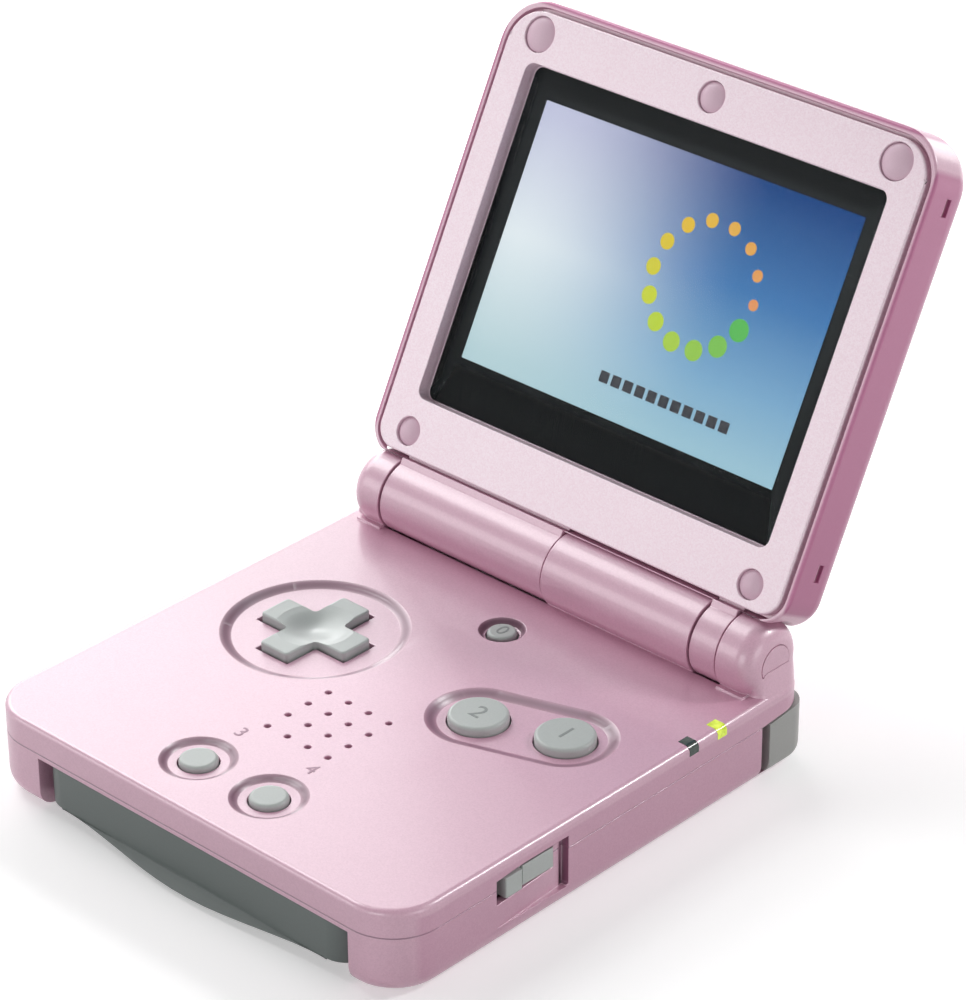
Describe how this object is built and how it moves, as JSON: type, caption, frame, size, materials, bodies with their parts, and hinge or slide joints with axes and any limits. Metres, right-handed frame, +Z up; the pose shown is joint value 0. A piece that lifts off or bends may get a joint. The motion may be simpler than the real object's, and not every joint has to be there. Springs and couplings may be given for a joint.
{
  "type": "clamshell handheld game console",
  "caption": "Folding handheld game console: a lid with a screen hinged to a flat base that carries a direction pad, round buttons, sliders, shoulder buttons and a card slot.",
  "frame": {"origin": "centre of the base's flat underside", "axes": "+X to the player's right, +Y towards the hinge, +Z up; stored with the lid open as in the picture"},
  "size_m": [0.082, 0.1204, 0.0876],
  "materials": {
    "pearl_shell": "pearlescent pink lacquer over moulded plastic, satin gloss",
    "screw_cover": "firm rubber, coloured to match the shells",
    "key_plastic": "light grey moulded plastic",
    "shoulder_plastic": "mid grey moulded plastic",
    "card_plastic": "dark grey moulded plastic",
    "key_rubber": "silicone",
    "steel": "plain",
    "dark_plastic": "moulded",
    "board": "solder resist",
    "battery_case": "moulded",
    "ribbon_film": "polyimide film",
    "black_border": "printed black",
    "clear_lens": "clear acrylic",
    "display": "lit display",
    "lit_pipe": "lit yellow-green",
    "unlit_pipe": "dark smoked"
  },
  "bodies": {
    "base": {"upper_base_shell": "pearl_shell", "lower_base_shell": "pearl_shell", "battery_door": "pearl_shell", "battery_door_screw": "steel", "battery": "battery_case", "main_board": "board", "card_connector": "dark_plastic", "speaker": "dark_plastic", "case_screws": "steel", "action_mat": "key_rubber", "start_select_mat": "key_rubber", "light_mat": "key_rubber", "power_switch": "dark_plastic", "volume_control": "dark_plastic", "power_light_pipe": "lit_pipe", "charge_light_pipe": "unlit_pipe", "shoulder_pin_right": "steel", "shoulder_pin_left": "steel", "shoulder_spring_right": "steel", "shoulder_spring_left": "steel", "link_socket": "dark_plastic", "power_socket": "dark_plastic", "hinge_cam_unit": "steel", "hinge_pin_right": "steel", "hinge_bush_left": "dark_plastic", "hinge_cap_right": "pearl_shell", "hinge_cap_left": "pearl_shell"},
    "lid": {"lid_outer_shell": "pearl_shell", "lid_inner_shell": "pearl_shell", "screen_lens": "clear_lens", "lens_border": "black_border", "light_guide": "display", "lcd_panel": "display", "lcd_frame": "dark_plastic", "display_ribbon": "ribbon_film", "top_screw_covers": "screw_cover", "middle_screw_cover": "screw_cover", "bottom_screw_covers": "screw_cover", "lid_screws": "steel", "hinge_cam_key": "steel"},
    "pad_mat": {"dpad_mat": "key_rubber"},
    "pad": {"dpad": "key_plastic"},
    "card": {"game_card": "card_plastic"},
    "button_a": {"button_a": "key_plastic"},
    "button_b": {"button_b": "key_plastic"},
    "start_button": {"start_button": "key_plastic"},
    "select_button": {"select_button": "key_plastic"},
    "light_button": {"light_button": "key_plastic"},
    "power_slider": {"power_slider": "key_plastic"},
    "volume_slider": {"volume_slider": "key_plastic"},
    "shoulder_button_right": {"shoulder_button_right": "shoulder_plastic"},
    "shoulder_button_left": {"shoulder_button_left": "shoulder_plastic"}
  },
  "joints": [
    {"name": "lid_hinge", "type": "hinge", "parent": "base", "child": "lid", "pos_m": [0, 0.0359, 0.01765], "axis": [1, 0, 0], "range_deg": [-37, 117.8]},
    {"name": "pad_tilt_fore_aft", "type": "hinge", "parent": "base", "child": "pad_mat", "pos_m": [-0.0198, 0.0032, 0.0101], "axis": [1, 0, 0], "range_deg": [-2.5, 2.5], "stiffness_Nm_per_rad": 0.18, "deforming": ["dpad_mat"]},
    {"name": "pad_tilt_side", "type": "hinge", "parent": "pad_mat", "child": "pad", "pos_m": [-0.0198, 0.0032, 0.0101], "axis": [0, 1, 0], "range_deg": [-2.5, 2.5], "stiffness_Nm_per_rad": 0.18},
    {"name": "button_a_press", "type": "slide", "parent": "base", "child": "button_a", "axis": [0, 0, -1], "range_m": [0, 0.001], "stiffness_N_per_m": 1200},
    {"name": "button_b_press", "type": "slide", "parent": "base", "child": "button_b", "axis": [0, 0, -1], "range_m": [0, 0.001], "stiffness_N_per_m": 1200},
    {"name": "start_button_press", "type": "slide", "parent": "base", "child": "start_button", "axis": [0, 0, -1], "range_m": [0, 0.0006], "stiffness_N_per_m": 2000},
    {"name": "select_button_press", "type": "slide", "parent": "base", "child": "select_button", "axis": [0, 0, -1], "range_m": [0, 0.0006], "stiffness_N_per_m": 2000},
    {"name": "light_button_press", "type": "slide", "parent": "base", "child": "light_button", "axis": [0, 0, -1], "range_m": [0, 0.0005], "stiffness_N_per_m": 2000},
    {"name": "power_slide", "type": "slide", "parent": "base", "child": "power_slider", "axis": [0, 1, 0], "range_m": [-0.0016, 0]},
    {"name": "volume_slide", "type": "slide", "parent": "base", "child": "volume_slider", "axis": [0, 1, 0], "range_m": [-0.0036, 0.0036]},
    {"name": "card_slide", "type": "slide", "parent": "base", "child": "card", "axis": [0, -1, 0], "range_m": [0, 0.034]},
    {"name": "shoulder_press_right", "type": "hinge", "parent": "base", "child": "shoulder_button_right", "pos_m": [0.0276, 0.0386, 0.005], "axis": [0, 0, 1], "range_deg": [-5, 0], "stiffness_Nm_per_rad": 0.15},
    {"name": "shoulder_press_left", "type": "hinge", "parent": "base", "child": "shoulder_button_left", "pos_m": [-0.0276, 0.0386, 0.005], "axis": [0, 0, 1], "range_deg": [0, 5], "stiffness_Nm_per_rad": 0.15}
  ]
}
